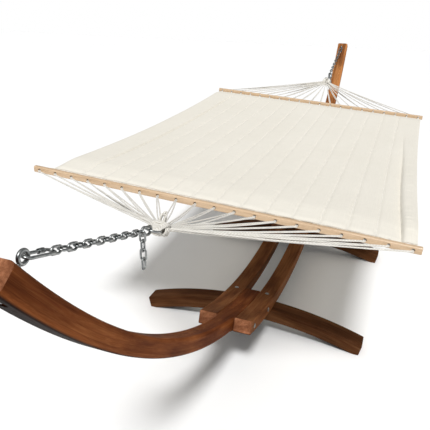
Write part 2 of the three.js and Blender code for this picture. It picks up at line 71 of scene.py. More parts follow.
STAND_Y = -0.025
ARC_INNER, ARC_OUTER = 2.418, 2.476
ARC_Z = 0.094 + ARC_OUTER
BEAM_WIDTH = 0.075
SIDE_BEAM_Y = 0.0765
STAND_HALF_WIDTH = SIDE_BEAM_Y + BEAM_WIDTH / 2
ARM_TIP, ARM_ROOT, SIDE_END = math.radians(53.9), math.radians(10.5), math.radians(20.4)
FOOT_X, FOOT_WIDTH, FOOT_HALF, FOOT_DEPTH = 0.464, 0.080, 0.545, 0.066
FOOT_CROWN, FOOT_TIP, FOOT_INSET = 0.146, 0.0525, 0.012
FOOT_BOLT_ANGLE = math.radians(10.9)
JOINT_BOLT_ANGLES = [math.radians(13.6), math.radians(19.2)]
EYE_ANGLE = math.radians(52.6)
EYE_HEIGHT, EYE_RING, EYE_WIRE = 0.026, 0.012, 0.004
EYE_RECESS = 0.014
EYE_NUT_RADIUS = ARC_OUTER - EYE_RECESS
FOOT_NUT_RADIUS = ARC_OUTER + 0.042
FOOT_POCKET_RADIUS = 0.012
BOLT_RADIUS, NUT_HEIGHT, NUT_CORNERS, NUT_HOLE = 0.004, 0.0065, 0.015, 0.0043
WASHER_RADIUS, WASHER_HOLE, WASHER_THICKNESS = 0.012, 0.0045, 0.002
REST_GAP = 0.0004
SIDES = (("left", 1), ("right", -1))
LINE_ROLL = math.radians(8)
BAR_LENGTH, BAR_DEPTH, BAR_HEIGHT = 1.400, 0.018, 0.024
BAR_X, BAR_TILT, BAR_EDGE = 1.012, math.radians(3.1), 0.0052
HOLE_COUNT, HOLE_RADIUS, HOLE_MARGIN = 20, 0.006, 0.026
HOLE_SPACING = (BAR_LENGTH - 2 * HOLE_MARGIN) / (HOLE_COUNT - 1)
BED_END_GAP = 0.0035
BED_END_X = BAR_X - BAR_DEPTH / 2 - BED_END_GAP
BED_SAG = 0.020
BED_RISE = 0.020
# Each end's bar height, the point where its cords meet, the bed's two edges and the hem's lift on the bar.
NEAR = dict(name="near", side=-1, bar=0.862, apex=(-1.337, -0.008, 0.922))
NEAR.update(right=-0.685, left=0.622, lift=0.010)
FAR = dict(name="far", side=1, bar=0.831, apex=(1.337, -0.008, 0.902))
FAR.update(right=-0.690, left=0.692, lift=-0.009)
ENDS = (NEAR, FAR)

# ---------------------------------------------------------------- meshes


def smooth_step(x):
    """0 below 0, 1 above 1, and a smooth rise between them."""
    x = np.clip(x, 0, 1)
    return x * x * (3 - 2 * x)


def hill(distance, width):
    """1 at distance 0, falling away over width."""
    return np.exp(-((distance / width) ** 2))


def write_grain(mesh, grain):
    """Stores a vector for each point, which the materials read."""
    layer = mesh.attributes.new("grain", "FLOAT_VECTOR", "POINT")
    layer.data.foreach_set("vector", np.asarray(grain, np.float32).ravel())


def shade_smooth(mesh, sharp):
    """Smooth shading, except over edges that turn by more than sharp degrees."""
    mesh.polygons.foreach_set("use_smooth", [True] * len(mesh.polygons))
    mesh.set_sharp_from_angle(angle=math.radians(sharp))


def add_mesh(name, vertices, faces, materials, grain=None, sharp=40, face_materials=None):
    mesh = bpy.data.meshes.new(name)
    mesh.from_pydata([tuple(v) for v in vertices], [], [tuple(f) for f in faces])
    if grain is not None:
        write_grain(mesh, grain)
    for material in materials:
        mesh.materials.append(material)
    if face_materials is not None:
        mesh.polygons.foreach_set("material_index", np.asarray(face_materials, np.int32))
    mesh.validate()
    shade_smooth(mesh, sharp)
    mesh.update()
    obj = bpy.data.objects.new(name, mesh)
    bpy.context.scene.collection.objects.link(obj)
    return obj


def settle(obj, body, slot, *nodes):
    """The piece rides on its body and stands for its CAD nodes."""
    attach(obj, body)
    if nodes:
        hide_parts(*nodes)
    return obj


class Build:
    """Collects closed shells into one mesh."""

    def __init__(self):
        self.vertices, self.faces, self.grain, self.count = [], [], [], 0

    def add(self, vertices, faces, grain=None):
        vertices = np.asarray(vertices, float)
        self.faces += [[i + self.count for i in f] for f in faces]
        self.vertices.append(vertices)
        self.grain.append(vertices if grain is None else np.asarray(grain, float))
        self.count += len(vertices)

    def object(self, name, material, sharp=40):
        return add_mesh(name, np.vstack(self.vertices), self.faces, [material], np.vstack(self.grain), sharp)


def rings_to_faces(rings, size, closed=False):
    """Quads between rings of the same size, with the two ends capped or, when closed, joined."""
    faces = []
    for i in range(rings if closed else rings - 1):
        j = (i + 1) % rings
        for k in range(size):
            l = (k + 1) % size
            faces.append((i * size + k, i * size + l, j * size + l, j * size + k))
    if not closed:
        faces.append(tuple(range(size - 1, -1, -1)))
        faces.append(tuple((rings - 1) * size + k for k in range(size)))
    return faces


def tube(points, radius, sides, closed=False):
    """A round tube along points, of one radius or one for each point.

    Its grain is the length along, and the cosine and sine of the angle round.
    """
    p = np.asarray(points, float)
    n = len(p)
    ahead = np.roll(p, -1, 0) - np.roll(p, 1, 0) if closed else np.gradient(p, axis=0)
    ahead /= np.linalg.norm(ahead, axis=1)[:, None]
    side = np.cross(ahead[0], (0, 0, 1) if abs(ahead[0][2]) < 0.9 else (0, 1, 0))
    side /= np.linalg.norm(side)
    sides_at = [side]
    for i in range(1, n):
        side = sides_at[-1] - ahead[i] * np.dot(sides_at[-1], ahead[i])
        sides_at.append(side / np.linalg.norm(side))
    side = np.array(sides_at)
    over = np.cross(ahead, side)
    along = np.concatenate([[0], np.cumsum(np.linalg.norm(np.diff(p, axis=0), axis=1))])
    r = np.broadcast_to(radius, n)
    angle = np.arange(sides) * 2 * math.pi / sides
    ring = np.cos(angle)[None, :, None] * side[:, None] + np.sin(angle)[None, :, None] * over[:, None]
    vertices = (p[:, None] + r[:, None, None] * ring).reshape(-1, 3)
    grain = np.zeros((n, sides, 3))
    grain[..., 0] = along[:, None]
    grain[..., 1] = np.cos(angle)[None]
    grain[..., 2] = np.sin(angle)[None]
    return vertices, rings_to_faces(n, sides, closed), grain.reshape(-1, 3)


def turned(origin, axis):
    """A function that places a point, given as radius, angle and distance along the axis."""
    turn = Vector((0, 0, 1)).rotation_difference(Vector(axis).normalized()).to_matrix()

    def place(radius, angle, along):
        flat = Vector((radius * math.cos(angle), radius * math.sin(angle), along))
        return tuple(Vector(origin) + turn @ flat)

    return place


def lathe(profile, sides, origin, axis, closed=False):
    """A turned solid. profile is (distance along the axis, radius), from one end to the other."""
    place = turned(origin, axis)
    angles = np.arange(sides) * 2 * math.pi / sides
    vertices = [place(radius, angle, along) for along, radius in profile for angle in angles]
    return vertices, rings_to_faces(len(profile), sides, closed)


def drill(obj, drills, grain_of, sharp=35):
    """Cuts the drills away from obj, and works out its grain afresh from where each point is."""
    cutters = drills.object("drills", obj.data.materials[0])
    cut = obj.modifiers.new("holes", "BOOLEAN")
    cut.operation, cut.solver, cut.object = "DIFFERENCE", "EXACT", cutters
    graph = bpy.context.evaluated_depsgraph_get()
    made = bpy.data.meshes.new_from_object(obj.evaluated_get(graph))
    obj.modifiers.clear()
    obj.data = made
    bpy.data.objects.remove(cutters)
    where = np.empty(3 * len(made.vertices))
    made.vertices.foreach_get("co", where)
    old = made.attributes.get("grain")
    if old:
        made.attributes.remove(old)
    write_grain(made, grain_of(where.reshape(-1, 3)))
    shade_smooth(made, sharp)


def section(width, height, radius, steps=5, skirt=0.0012):
    """A rounded rectangle, with extra points beside each corner to keep its flats flat when shaded."""
    points = []
    for cx, cy, start in ((1, 1, 0), (-1, 1, 90), (-1, -1, 180), (1, -1, 270)):
        middle = np.array([cx * (width / 2 - radius), cy * (height / 2 - radius)])
        arc = [math.radians(start + 90 * i / steps) for i in range(steps + 1)]
        corner = [middle + radius * np.array([math.cos(a), math.sin(a)]) for a in arc]
        first = corner[0] - skirt * np.array([-math.sin(arc[0]), math.cos(arc[0])])
        last = corner[-1] + skirt * np.array([-math.sin(arc[-1]), math.cos(arc[-1])])
        points += [first, *corner, last]
    return np.array(points)


def on_arc(radius, angle, y=0.0):
    return np.array([radius * math.sin(angle), STAND_Y + y, ARC_Z - radius * math.cos(angle)])


# ---------------------------------------------------------------- materials


class Nodes:
    """A short way to write a material's node tree."""

    def __init__(self, name):
        self.material = bpy.data.materials.new(name)
        self.material.use_nodes = True
        self.tree = self.material.node_tree
        self.shader = self.tree.nodes["Principled BSDF"]

    def add(self, kind, inputs=None, **settings):
        node = self.tree.nodes.new("ShaderNode" + kind)
        for key, value in settings.items():
            setattr(node, key, value)
        for key, value in (inputs or {}).items():
            self.put(node.inputs[key], value)
        return node

    def put(self, socket, value):
        if isinstance(value, bpy.types.NodeSocket):
            self.tree.links.new(value, socket)
        elif isinstance(value, bpy.types.Node):
            self.tree.links.new(value.outputs[0], socket)
        else:
            socket.default_value = value

    def grain(self):
        return self.add("Attribute", attribute_name="grain").outputs["Vector"]

    def scaled(self, vector, scale, location=(0, 0, 0)):
        return self.add("Mapping", {"Vector": vector, "Scale": scale, "Location": location})

    def noise(self, vector, scale, detail=3.0, roughness=0.55):
        inputs = {"Vector": vector, "Scale": scale, "Detail": detail, "Roughness": roughness}
        return self.add("TexNoise", inputs).outputs["Fac"]

    def ramp(self, fac, *stops):
        node = self.add("ValToRGB", {"Fac": fac})
        while len(node.color_ramp.elements) < len(stops):
            node.color_ramp.elements.new(0.5)
        for element, (position, colour) in zip(node.color_ramp.elements, stops):
            element.position = position
            element.color = (*colour, 1) if isinstance(colour, tuple) else (colour, colour, colour, 1)
        return node.outputs["Color"]

    def math(self, operation, a, b=0.0):
        return self.add("Math", {0: a, 1: b}, operation=operation).outputs[0]

    def mix(self, a, b, fac, blend="MIX"):
        node = self.add("Mix", data_type="RGBA", blend_type=blend)
        self.put(node.inputs[0], fac)
        self.put(node.inputs[6], (*a, 1) if isinstance(a, tuple) else a)
        self.put(node.inputs[7], (*b, 1) if isinstance(b, tuple) else b)
        return node.outputs[2]

    def bump(self, height, strength, distance):
        inputs = {"Height": height, "Strength": strength, "Distance": distance}
        return self.add("Bump", inputs).outputs["Normal"]

    def finish(self, **values):
        for key, value in values.items():
            self.put(self.shader.inputs[key.replace("_", " ")], value)
        return self.material


LAMINATION = 0.0145
PLAIN_RINGS = (0.26, (0.200, 0.055, 0.014)), (0.50, (0.300, 0.093, 0.026)), (0.76, (0.410, 0.150, 0.048))
END_RINGS = (0.30, (0.20, 0.075, 0.034)), (0.52, (0.31, 0.125, 0.058)), (0.72, (0.40, 0.18, 0.09))
WOOD_PATCHES = (0.38, (0.60, 0.55, 0.53)), (0.50, (1.0, 1.0, 1.0)), (0.62, (1.38, 1.48, 1.55))
WOOD_KNOTS = (0.05, (0.38, 0.30, 0.26)), (0.10, (0.62, 0.55, 0.50)), (0.24, (1.0, 1.0, 1.0))
BEECH_RINGS = (0.28, (0.49, 0.325, 0.190)), (0.50, (0.60, 0.425, 0.265)), (0.75, (0.68, 0.500, 0.330))


def stained_wood(name, seed, tone, end_grain=False):
    """Brown-stained laminated wood. Its grain is (length along, height above the underside, width)."""
    n = Nodes(name)
    shift = 3.7 * seed
    where = n.grain()
    wander = n.noise(n.scaled(where, (1.6, 9, 9), (shift, 0, 0)), 1.0, 2)
    depth = n.add("SeparateXYZ", {"Vector": where}).outputs[1]
    layer = n.math("DIVIDE", depth, LAMINATION)
    index = n.math("FLOOR", layer)
    within = n.math("FRACT", layer)
    base = n.scaled(where, (60, 60, 60) if end_grain else (1, 60, 60), (shift, 0, 0))
    apart = n.math("MULTIPLY", index, 5.3)
    offset = n.add("CombineXYZ", {"X": apart, "Y": 0.0, "Z": n.math("MULTIPLY", wander, 8)})
    moved = n.add("VectorMath", {0: base, 1: offset}, operation="ADD").outputs[0]
    rings = n.noise(moved, 1.6, 5, 0.62)
    streak = n.noise(n.scaled(moved, (1.2, 4, 4)), 2.2, 6, 0.7)
    pores = n.noise(n.scaled(where, (26, 900, 900)), 1.0, 2)
    tint = n.noise(n.scaled(where, (3.2, 16, 16), (0, shift, 0)), 1.0, 3)
    colour = n.ramp(rings, *(END_RINGS if end_grain else PLAIN_RINGS))
    colour = n.mix(colour, n.ramp(streak, (0.42, 0.55), (0.60, 1.0)), 0.40, "MULTIPLY")
    colour = n.mix(colour, n.ramp(tint, *WOOD_PATCHES), 0.9, "MULTIPLY")
    cells = n.scaled(where, (2.6, 13, 13), (shift, 0.31 * seed, 0.17 * seed))
    near_knot = n.add("TexVoronoi", {"Vector": cells, "Scale": 1.0}).outputs["Distance"]
    ragged = n.math("MULTIPLY", n.math("SUBTRACT", streak, 0.5), 0.10)
    knots = n.ramp(n.math("ADD", near_knot, ragged), *WOOD_KNOTS)
    colour = n.mix(colour, knots, 0.85, "MULTIPLY")
    # Painted shade: the colour darkens towards the underside of each beam and foot.
    under = n.ramp(n.math("MULTIPLY", depth, 17.0), (0.02, 0.08), (0.08, 1.0))
    colour = n.mix(colour, under, 1.0, "MULTIPLY")
    joint = n.math("MINIMUM", within, n.math("SUBTRACT", 1.0, within))
    colour = n.mix(colour, n.ramp(joint, (0.0, 0.42), (0.035, 1.0)), 0.5, "MULTIPLY")
    # tone tints the whole colour; for the arms, side beams and feet it carries painted light and shade.
    colour = n.mix(colour, tone, 1.0, "MULTIPLY")
    height = n.math("ADD", n.math("MULTIPLY", streak, 0.5), n.math("MULTIPLY", pores, 0.35))
    rough = n.ramp(streak, (0.35, 0.62), (0.7, 0.44))
    bump = n.bump(height, 0.35, 0.0009)
    return n.finish(Base_Color=colour, Roughness=rough, Normal=bump, Specular_IOR_Level=0.02)


def pale_wood(name, seed):
    """Clear-varnished beech. Its grain runs along the first axis."""
    n = Nodes(name)
    where = n.grain()
    rings = n.noise(n.scaled(where, (3.0, 70, 70), (2.1 * seed, 0, 0)), 1.5, 5, 0.6)
    flecks = n.noise(n.scaled(where, (120, 900, 900)), 1.0, 2)
    colour = n.ramp(rings, *BEECH_RINGS)
    colour = n.mix(colour, n.ramp(flecks, (0.36, 0.72), (0.50, 1.0)), 0.55, "MULTIPLY")
    bump = n.bump(n.math("ADD", rings, n.math("MULTIPLY", flecks, 0.5)), 0.18, 0.0004)
    return n.finish(Base_Color=colour, Roughness=0.42, Normal=bump, Coat_Weight=0.25)


def zinc_steel(name, dull):
    """Cloudy zinc plate, darker by dull than bright zinc."""
    n = Nodes(name)
    where = n.add("TexCoord").outputs["Object"]
    cloud = n.noise(where, 60.0, 4, 0.6)
    fine = n.noise(where, 700.0, 2, 0.6)
    shade, shine = (tuple(c - dull for c in tone) for tone in ((0.33, 0.345, 0.35), (0.62, 0.63, 0.62)))
    colour = n.ramp(cloud, (0.32, shade), (0.68, shine))
    rough = n.ramp(cloud, (0.30, 0.24), (0.72, 0.46))
    return n.finish(Base_Color=colour, Metallic=1.0, Roughness=rough, Normal=n.bump(fine, 0.12, 0.0003))


def cotton_cord(name):
    """Laid cotton cord, three strands twisted together. Its grain is what tube() gives."""
    n = Nodes(name)
    axes = n.add("SeparateXYZ", {"Vector": n.grain()})
    angle = n.math("ARCTAN2", axes.outputs[2], axes.outputs[1])
    phase = n.math("ADD", n.math("MULTIPLY", axes.outputs[0], 640.0), n.math("MULTIPLY", angle, 3.0))
    lay = n.math("ABSOLUTE", n.math("SINE", n.math("MULTIPLY", phase, 0.5)))
    where = n.add("TexCoord").outputs["Object"]
    tone = n.noise(where, 34.0, 3)
    fuzz = n.noise(where, 1800.0, 2)
    # Painted shade and highlight: the colour darkens into the grooves between the strands and lightens on
    # their crowns.
    colour = n.ramp(lay, (0.0, (0.46, 0.42, 0.36)), (0.45, (0.74, 0.71, 0.64)), (1.0, (0.84, 0.82, 0.77)))
    colour = n.mix(colour, n.ramp(tone, (0.35, 0.86), (0.62, 1.0)), 0.8, "MULTIPLY")
    bump = n.bump(n.math("ADD", lay, n.math("MULTIPLY", fuzz, 0.4)), 0.7, 0.0009)
    return n.finish(Base_Color=colour, Roughness=0.92, Normal=bump, Sheen_Weight=0.3, Specular_IOR_Level=0.2)


def quilt_canvas(name):
    """Off-white woven canvas. Its grain is (along, across, distance from a seam), in metres."""
    n = Nodes(name)
    where = n.grain()
    along, across, seam = n.add("SeparateXYZ", {"Vector": where}).outputs
    warp = n.math("SINE", n.math("MULTIPLY", along, 3400.0))
    weft = n.math("SINE", n.math("MULTIPLY", across, 3400.0))
    weave = n.math("MULTIPLY", warp, weft)
    slub = n.noise(n.scaled(where, (14, 420, 0)), 1.0, 4)
    cross_slub = n.noise(n.scaled(where, (420, 14, 0)), 1.0, 4)
    cloth = n.math("MULTIPLY", n.math("ADD", slub, cross_slub), 0.5)
    tone = n.noise(n.scaled(where, (2.2, 3.4, 0)), 1.0, 3)
    colour = n.ramp(tone, (0.32, (0.782, 0.745, 0.658)), (0.68, (0.806, 0.770, 0.686)))
    colour = n.mix(colour, n.ramp(cloth, (0.36, 0.93), (0.62, 1.03)), 0.8, "MULTIPLY")
    stitch = n.math("GREATER_THAN", n.math("SINE", n.math("MULTIPLY", along, 1800.0)), -0.3)
    thread = n.math("MULTIPLY", stitch, n.math("LESS_THAN", seam, 0.0008))
    # Painted shade: the colour darkens along each seam, where the quilting dips.
    painted_seam_shade = n.ramp(n.math("MULTIPLY", seam, 100.0), (0.08, 0.94), (0.40, 1.0))
    colour = n.mix(colour, painted_seam_shade, 1.0, "MULTIPLY")
    colour = n.mix(colour, (0.86, 0.84, 0.79), n.math("MULTIPLY", thread, 0.7))
    bump = n.bump(n.math("ADD", n.math("MULTIPLY", weave, 0.16), cloth), 0.35, 0.0006)
    return n.finish(Base_Color=colour, Roughness=0.93, Normal=bump, Sheen_Weight=0.2, Specular_IOR_Level=0.2)


CORD = cotton_cord("cotton_cord")
ZINC = zinc_steel("zinc_steel", 0.17)
DULL_ZINC = zinc_steel("dull_zinc_steel", 0.20)
# A darker copy of the zinc, used for the joint bolts.
DARKER_ZINC = zinc_steel("darker_zinc_steel", 0.27)
CANVAS = quilt_canvas("quilt_canvas")
END_WOOD = stained_wood("stained_end_grain", 9, (1.05, 1.05, 1.10), end_grain=True)

# ---------------------------------------------------------------- the stand's wood

# Painted light and shade: each piece's copy of the stained wood is tinted for how it is lit. The far arm is
# much lighter, as if in sun. The side beams and feet are darker and cooler, as if in shade. The near arm is
# a little darker.
ARM_LIT_AND_SHADED_TONES = ((0.64, 0.58, 0.54), (1.50, 1.85, 2.10))
SIDE_BEAM_SHADED_TONE = (0.70, 0.82, 1.00)
FOOT_SHADED_TONE = (0.31, 0.385, 0.53)
SQUARE_EDGE, ROUND_EDGE, SIDE_BEAM_EDGE, FOOT_EDGE = 0.0022, 0.0125, 0.0032, 0.0034


def outward_at(angle):
    """The direction from the arc's centre to an angle, as a unit vector."""
    return on_arc(1, angle) - on_arc(0, angle)


def bent_beam(name, y, start, end, edge_at, seed, tone, drills=None):
    """A beam bent along the arc. edge_at gives the edges' rounding at an angle."""
    chamfer = 0.0016
    inner = np.linspace(start, end, int((end - start) / math.radians(0.35)))
    mid = (ARC_INNER + ARC_OUTER) / 2
    depth = ARC_OUTER - ARC_INNER
    stations = [(start, chamfer), (start + chamfer / mid, 0.0)]
    stations += [(a, 0.0) for a in inner[1:-1]]
    stations += [(end - chamfer / mid, 0.0), (end, chamfer)]
    vertices = []
    for angle, inset in stations:
        shape = section(BEAM_WIDTH - 2 * inset, depth - 2 * inset, max(edge_at(angle) - inset, 0.0012))
        vertices += [on_arc(mid + outward, angle, y + across) for across, outward in shape]

    def grain_of(p):
        radius = np.hypot(p[:, 0], ARC_Z - p[:, 2])
        angle = np.arctan2(p[:, 0], ARC_Z - p[:, 2])
        return np.column_stack([mid * angle, ARC_OUTER - radius, p[:, 1] - STAND_Y - y])

    size = len(shape)
    faces = rings_to_faces(len(stations), size)
    ends = [0] * (len(faces) - 2) + [1, 1]
    for k in range(size):
        ends[k] = ends[len(faces) - 3 - k] = 1
    wood = stained_wood(name + "_wood", seed, tone)
    grain = grain_of(np.array(vertices))
    obj = add_mesh(name, vertices, faces, [wood, END_WOOD], grain, 35, ends)
    if drills:
        drill(obj, drills, grain_of)
    return settle(obj, "stand", "stained_wood")


def arm_edge(angle):
    """An arm's edges are well rounded, but nearly square where the side beams clamp it."""
    beyond = (abs(angle) - SIDE_END) / math.radians(0.7)
    return SQUARE_EDGE + (ROUND_EDGE - SQUARE_EDGE) * float(smooth_step(beyond))


def add_arm(end, seed, tone):
    """An arm, with a recess in its outer face for the eye bolt's washer and nut."""
    eye_angle = end["side"] * EYE_ANGLE
    rim = [(0, EYE_RECESS), (0.013, EYE_RECESS), (0.015, EYE_RECESS + 0.0015), (0.030, EYE_RECESS + 0.0015)]
    recess = Build()
    recess.add(*lathe(rim, 36, on_arc(EYE_NUT_RADIUS, eye_angle), outward_at(eye_angle)))
    low, high = sorted((end["side"] * ARM_ROOT, end["side"] * ARM_TIP))
    arm = bent_beam(end["name"] + "_arm_wood", 0, low, high, arm_edge, seed, tone, recess)
    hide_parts(end["name"] + "_arm")


def add_side_beam(name, y, seed):
    beam = bent_beam(
        name + "_wood", y, -SIDE_END, SIDE_END, lambda angle: SIDE_BEAM_EDGE, seed, SIDE_BEAM_SHADED_TONE
    )
    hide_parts(name)


def add_foot(end, seed):
    """An arched foot: flats under its tips, and a shallow saddle that follows the beams."""
    rise = FOOT_CROWN - FOOT_TIP
    top = (FOOT_HALF**2 + rise**2) / (2 * rise)
    centre = FOOT_CROWN - top
    low = top - FOOT_DEPTH
    tip = math.asin(FOOT_HALF / top)
    saddle = math.asin(STAND_HALF_WIDTH / top)
    angles = set(np.linspace(-tip, tip, 121))
    angles |= {s * (saddle + d) for s in (-1, 1) for d in (0.0003, 0.0011)}
    angles = sorted(angles)
    chamfer, chamfer_angle = 0.002, 0.0012
    stations = [(angles[0], chamfer), (angles[0] + chamfer_angle, 0.0)]
    stations += [(a, 0.0) for a in angles[1:-1]]
    stations += [(angles[-1] - chamfer_angle, 0.0), (angles[-1], chamfer)]
    end_bottom = (FOOT_HALF - FOOT_INSET) / (low * math.sin(tip))
    vertices = []
    for angle, inset in stations:
        shape = section(FOOT_WIDTH - 2 * inset, FOOT_DEPTH - 2 * inset, FOOT_EDGE - 0.5 * inset)
        stretch = 1 + (end_bottom - 1) * (abs(angle) / tip) ** 10
        for across, outward in shape:
            radius = top - FOOT_DEPTH / 2 + outward
            share = (FOOT_DEPTH / 2 - outward) / FOOT_DEPTH
            y = radius * math.sin(angle) * (1 + share * (stretch - 1))
            z = max(centre + radius * math.cos(angle), 0.0)
            x = end["side"] * FOOT_X + across
            under_beam = ARC_Z - math.sqrt(ARC_OUTER**2 - x * x) - 0.0006
            if abs(angle) < saddle + 0.0007:
                z = min(z, under_beam)
            vertices.append((x, STAND_Y + y, z))
    size = len(shape)
    faces = rings_to_faces(len(stations), size)
    ends = [0] * (len(faces) - 2) + [1, 1]
    wood = stained_wood(end["name"] + "_foot_wood", seed, FOOT_SHADED_TONE)

    def grain_of(p):
        y = p[:, 1] - STAND_Y
        return np.column_stack([y, np.hypot(y, p[:, 2] - centre) - low, p[:, 0] - end["side"] * FOOT_X])

    grain = grain_of(np.array(vertices))
    obj = add_mesh(end["name"] + "_foot_wood", vertices, faces, [wood, END_WOOD], grain, 35, ends)
    pockets = Build()
    bolt_angle = end["side"] * FOOT_BOLT_ANGLE
    pocket = [(0, FOOT_POCKET_RADIUS), (0.06, FOOT_POCKET_RADIUS)]
    for y in (-SIDE_BEAM_Y, SIDE_BEAM_Y):
        roof = on_arc(FOOT_NUT_RADIUS - REST_GAP, bolt_angle, y)
        pockets.add(*lathe(pocket, 36, roof, outward_at(bolt_angle)))
    drill(obj, pockets, grain_of)
    settle(obj, "stand", "stained_wood", end["name"] + "_foot")


for number, end in enumerate(ENDS):
    add_arm(end, 1 + number, ARM_LIT_AND_SHADED_TONES[number])
for number, (side_name, side) in enumerate(SIDES):
    add_side_beam("side_beam_" + side_name, side * SIDE_BEAM_Y, 3 + number)
for number, end in enumerate(ENDS):
    add_foot(end, 6 + number)

# ---------------------------------------------------------------- bolts, nuts and washers

HEAD_RADIUS, HEAD_BRIM, HEAD_DOME = 0.010, 0.0013, 0.0032
RIM_EASE = 0.0004
FOOT_BOLT_LENGTH = FOOT_NUT_RADIUS + NUT_HEIGHT + 0.003 - ARC_INNER
JOINT_BOLT_LENGTH = 2 * STAND_HALF_WIDTH + NUT_HEIGHT + 0.004


def add_steel(built, name, body, steel, sharp=50):
    """The steel piece that stands for the CAD node of the same name."""
    settle(built.object(name + "_steel", steel, sharp), body, "zinc_steel", name)


def hexagon(built, across_corners, hole, height, origin, axis):
    """A nut or sleeve with chamfered corners, and a hole with eased rims."""
    place = turned(origin, axis)
    angles = [2 * math.pi * i / 36 for i in range(36)]
    flat = across_corners / 2 * math.cos(math.pi / 6)
    vertices = []
    for z, limit in ((0.0, 0.90), (0.12 * height, 1.0), (0.88 * height, 1.0), (height, 0.90)):
        for a in angles:
            side = flat / math.cos(a % (math.pi / 3) - math.pi / 6)
            vertices.append(place(min(side, limit * across_corners / 2), a, z))
    for z, ease in ((height, RIM_EASE), (0.85 * height, 0), (0.15 * height, 0), (0.0, RIM_EASE)):
        vertices += [place(hole + ease, a, z) for a in angles]
    built.add(vertices, rings_to_faces(8, len(angles), closed=True))


def add_nut(name, origin, axis):
    nut = Build()
    hexagon(nut, NUT_CORNERS, NUT_HOLE, NUT_HEIGHT, origin, axis)
    add_steel(nut, name, "stand", DULL_ZINC, 40)


def dome_bolt(name, origin, axis, length, steel):
    """axis points out of the wood, past the head. The shank runs the other way."""
    profile = [(-length, 0.8 * BOLT_RADIUS), (-length + 0.001, BOLT_RADIUS), (0.0008, BOLT_RADIUS)]
    profile += [(0.0008, HEAD_RADIUS - 0.0002), (HEAD_BRIM, HEAD_RADIUS)]
    for i in range(1, 9):
        a = i / 9 * math.pi / 2
        profile.append((HEAD_BRIM + HEAD_DOME * math.sin(a), HEAD_RADIUS * math.cos(a)))
    profile.append((HEAD_BRIM + HEAD_DOME - 0.00001, 0.0006))
    built = Build()
    built.add(*lathe(profile, 32, origin, axis))
    add_steel(built, name, "stand", steel)


def add_fasteners(end):
    label = end["name"]
    angle = end["side"] * FOOT_BOLT_ANGLE
    inward = -outward_at(angle)
    for side_name, side in SIDES:
        y = side * SIDE_BEAM_Y
        head = on_arc(ARC_INNER, angle, y)
        dome_bolt(f"{label}_foot_bolt_{side_name}", head, inward, FOOT_BOLT_LENGTH, DULL_ZINC)
        add_nut(f"{label}_foot_nut_{side_name}", on_arc(FOOT_NUT_RADIUS + NUT_HEIGHT, angle, y), inward)
    middle = (ARC_INNER + ARC_OUTER) / 2
    to_right = (0, -1, 0)
    for number, bolt_angle in enumerate(JOINT_BOLT_ANGLES, 1):
        head = on_arc(middle, end["side"] * bolt_angle, -STAND_HALF_WIDTH)
        tail = on_arc(middle, end["side"] * bolt_angle, STAND_HALF_WIDTH + REST_GAP + NUT_HEIGHT)
        dome_bolt(f"{label}_joint_bolt_{number}", head, to_right, JOINT_BOLT_LENGTH, DARKER_ZINC)
        add_nut(f"{label}_joint_nut_{number}", tail, to_right)
    angle = end["side"] * EYE_ANGLE
    inward = -outward_at(angle)
    washer_radius = EYE_NUT_RADIUS + REST_GAP + WASHER_THICKNESS
    add_nut(f"{label}_eye_nut", on_arc(washer_radius + REST_GAP + NUT_HEIGHT, angle), inward)
    washer = Build()
    bevel = 0.0003
    rim = [(0, WASHER_RADIUS - bevel), (bevel, WASHER_RADIUS), (WASHER_THICKNESS - bevel, WASHER_RADIUS)]
    rim += [(WASHER_THICKNESS, WASHER_RADIUS - bevel), (WASHER_THICKNESS, WASHER_HOLE), (0, WASHER_HOLE)]
    washer.add(*lathe(rim, 36, on_arc(washer_radius, angle), inward, closed=True))
    add_steel(washer, f"{label}_eye_washer", "stand", DULL_ZINC, 40)


def add_eye_bolt(end):
    angle = end["side"] * EYE_ANGLE
    centre = on_arc(ARC_INNER - EYE_HEIGHT, angle)
    out = outward_at(angle)
    around = np.cross(out, (0, 1, 0))
    turns = np.linspace(0, 2 * math.pi, 49)[:-1]
    ring = [centre + EYE_RING * (math.cos(t) * out + math.sin(t) * around) for t in turns]
    built = Build()
    built.add(*tube(ring, EYE_WIRE, 16, closed=True))
    neck = ARC_INNER - EYE_HEIGHT + EYE_RING
    length = EYE_NUT_RADIUS + 0.013 - neck
    profile = [(0, 0.0035), (0.004, 0.0045), (0.008, 0.0055), (0.0085, 0.0078), (0.0122, 0.008)]
    profile += [(0.0122, BOLT_RADIUS), (length - 0.001, BOLT_RADIUS), (length, 0.0033)]
    built.add(*lathe(profile, 28, on_arc(neck, angle), out))
    add_steel(built, end["name"] + "_eye_bolt", "stand", ZINC)


for add in (add_fasteners, add_eye_bolt):
    for end in ENDS:
        add(end)

# ---------------------------------------------------------------- chain and hooks

GAP = 0.0005
EYE_SLACK = 0.0036
QUICK = dict(length=0.088, width=0.026, wire=0.0065)
LINK = dict(length=0.0372, width=0.0205, wire=0.0055)
HOOK = dict(length=0.064, width=0.030, wire=0.008)
SLEEVE_LENGTH, SLEEVE_CORNERS, SLEEVE_OFFSET, SLEEVE_MOUTH = 0.016, 0.0115, 0.018, 0.009
GATE_LENGTH, TAIL_LIFT, TAIL_SETBACK, TAIL_COUNT = 0.024, 0.0011, 0.0155, 4
CHAIN_COUNT, CHAIN_PITCH = 14, 0.0266
RING_RADIUS, RING_WIRE = 0.021, 0.006
GATE_RADIUS = 0.0033


def span(link):
    return link["length"] - link["wire"]


